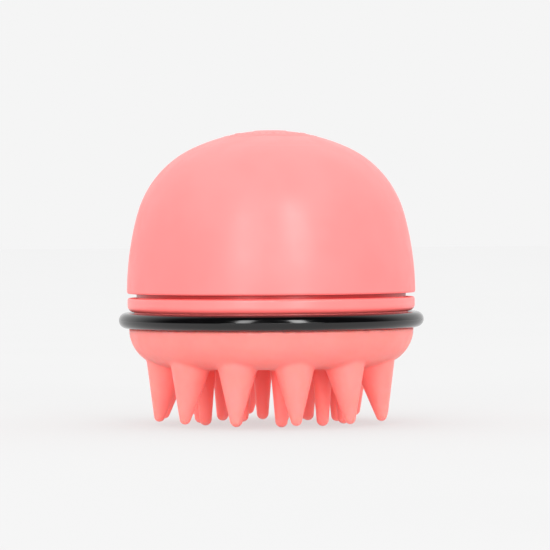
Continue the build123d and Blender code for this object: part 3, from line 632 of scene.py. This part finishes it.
def solder_joints():
    """Solder where the leads and the switch's legs meet the board."""
    mesh = bmesh.new()
    wire = 0.6                            # radius of the leads
    motor_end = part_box("motor_leads")[1][0] / MM - wire
    cell_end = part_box("cell_leads")[0][0] / MM + wire
    cell_side = (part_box("cell_leads")[1][1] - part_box("cell_leads")[0][1]) / (2 * MM) - wire
    motor_side, leg_x, leg_y = 4.0, 5.4, 2.6
    for side in (-1, 1):
        blob(mesh, (motor_end, side * motor_side), 1.5, 1.1, board_top)
        blob(mesh, (cell_end, side * cell_side), 1.5, 1.1, board_top)
        for across in (-1, 1):
            blob(mesh, (across * leg_x, side * leg_y), 0.95, 0.7, board_top)
    sharp_piece("solder_joints", mesh, "contact_steel", SOLDER, "base")


def tracks():
    """Wide copper tracks under the solder mask, as straight runs in millimetres."""
    mesh = bmesh.new()
    width, height, edge = 1.0, 0.05, 0.02
    runs = [((-11.0, 4.0), (-11.0, 9.0)), ((-11.0, 9.0), (-8.0, 9.0)),
            ((12.0, 5.7), (12.0, 11.0)), ((12.0, 11.0), (7.2, 11.0)),
            ((-11.0, -4.0), (-11.0, -11.0)), ((-11.0, -11.0), (-8.0, -11.0)),
            ((12.0, -5.7), (12.0, -12.0)), ((12.0, -12.0), (10.0, -12.0)),
            ((-5.6, -11.0), (5.0, -11.0)), ((5.4, 2.6), (5.4, 9.6)),
            ((-5.4, 2.6), (-5.4, 8.4)), ((2.0, 12.5), (4.0, 12.5))]
    for (x0, y0), (x1, y1) in runs:
        size = (abs(x1 - x0) + width, abs(y1 - y0) + width, height)
        box(mesh, ((x0 + x1) / 2, (y0 + y1) / 2), size, board_top, edge)
    sharp_piece("board_tracks", mesh, "board_laminate", COPPER_MASKED, "base")


soft_head()
soft_pad()
board_parts()
solder_joints()
tracks()


# ---------------------------------------------------------------- stage
def paper_floor():
    """A wide plain pale floor, lit a little from below as a light table is."""
    glow, floor_radius = 0.600, 9.0
    graph = Graph("studio_paper")
    drift = graph.ramp(graph.noise(140.0, 2.0), 0.0, 1.0)
    graph.colour(graph.blend(drift, (0.150, 0.150, 0.150), (0.148, 0.148, 0.148)))
    graph.shader.inputs["Emission Color"].default_value = (1, 1, 1, 1)
    graph.shader.inputs["Emission Strength"].default_value = glow
    graph.roughness(graph.ramp(graph.noise(1.5, 3.0), 0.5, 0.6))
    graph.shader.inputs["Specular IOR Level"].default_value = 0.0
    mesh = bmesh.new()
    turned(mesh, [(0.0, 0.0), (0.3, 0.0), (1.5, 0.0), (floor_radius, 0.0)], 72)
    data = as_mesh("studio_floor", mesh)
    data.materials.append(graph.material)
    floor = bpy.data.objects.new("studio_floor", data)
    scene.collection.objects.link(floor)


def studio_world(diffuse_level, seen_level, front_level):
    """White surroundings with a dim front. They look like the floor to the camera."""
    world = bpy.data.worlds.new("studio_world")
    world.use_nodes = True
    tree = world.node_tree
    direction = tree.nodes.new("ShaderNodeTexCoord")
    split = tree.nodes.new("ShaderNodeSeparateXYZ")
    tree.links.new(direction.outputs["Generated"], split.inputs["Vector"])
    reflected = tree.nodes.new("ShaderNodeMapRange")
    reflected.interpolation_type = "SMOOTHSTEP"
    reflected.inputs["From Min"].default_value = -0.15
    reflected.inputs["From Max"].default_value = 0.75
    reflected.inputs["To Min"].default_value = front_level
    reflected.inputs["To Max"].default_value = seen_level
    tree.links.new(split.outputs["Y"], reflected.inputs["Value"])
    ray = tree.nodes.new("ShaderNodeLightPath")
    level = tree.nodes.new("ShaderNodeMix")
    level.inputs["A"].default_value = diffuse_level
    tree.links.new(ray.outputs["Is Glossy Ray"], level.inputs["Factor"])
    tree.links.new(reflected.outputs["Result"], level.inputs["B"])
    shown = tree.nodes.new("ShaderNodeMix")
    shown.inputs["B"].default_value = seen_level
    tree.links.new(ray.outputs["Is Camera Ray"], shown.inputs["Factor"])
    tree.links.new(level.outputs["Result"], shown.inputs["A"])
    tree.links.new(shown.outputs["Result"], tree.nodes["Background"].inputs["Strength"])
    tree.nodes["Background"].inputs["Color"].default_value = (1, 1, 1, 1)
    return world


def area_light(name, place, aim, size, power):
    """A white rectangular lamp that faces aim."""
    data = bpy.data.lights.new(name, "AREA")
    data.shape = "RECTANGLE"
    data.size, data.size_y = size
    data.energy = power
    light = bpy.data.objects.new(name, data)
    light.location = place
    light.rotation_mode = "QUATERNION"
    light.rotation_quaternion = (Vector(aim) - Vector(place)).to_track_quat("-Z", "Y")
    scene.collection.objects.link(light)
    return light


paper_floor()
middle = (cad_low + cad_high) / 2
lamp_distance = 6.0
key_size, strip_size = (0.8, 1.6), (1.1, 5.0)


def front_lamp(name, azimuth, elevation, size, power, gloss):
    """A soft box in front, azimuth to the right; it gives either the gloss or the light."""
    across, up = math.radians(azimuth), math.radians(elevation)
    way = Vector((math.sin(across) * math.cos(up), -math.cos(across) * math.cos(up), math.sin(up)))
    lamp = area_light(name, middle + way * lamp_distance, middle, size, power)
    lamp.visible_diffuse = not gloss
    lamp.visible_glossy = gloss


front_lamp("key_left", -22, 13, key_size, 84.0, gloss=False)
front_lamp("key_right", 22, 13, key_size, 105.0, gloss=False)
front_lamp("strip_left", -21, 22, strip_size, 105.0, gloss=True)
front_lamp("strip_right", 21, 22, strip_size, 150.0, gloss=True)
scene.world = studio_world(diffuse_level=2.0, seen_level=0.913, front_level=0.03)

# ---------------------------------------------------------------- camera
camera_distance = 0.900
camera_height = 0.051
tilt_down = math.radians(0.756)
turn_right = math.radians(0.067)
roll = math.radians(0.35)
lens_data = bpy.data.cameras.new("camera")
lens_data.sensor_width = 36.0
lens_data.lens = 223.3
camera = bpy.data.objects.new("camera", lens_data)
camera.rotation_mode = "QUATERNION"
aim = Vector((math.sin(turn_right), math.cos(turn_right), -math.tan(tilt_down)))
rolled = Matrix.Rotation(-roll, 4, "Z").to_quaternion()
camera.rotation_quaternion = aim.to_track_quat("-Z", "Y") @ rolled
camera.location = (0.0, -camera_distance, camera_height)
scene.collection.objects.link(camera)
scene.camera = camera
scene.view_settings.view_transform = "Standard"
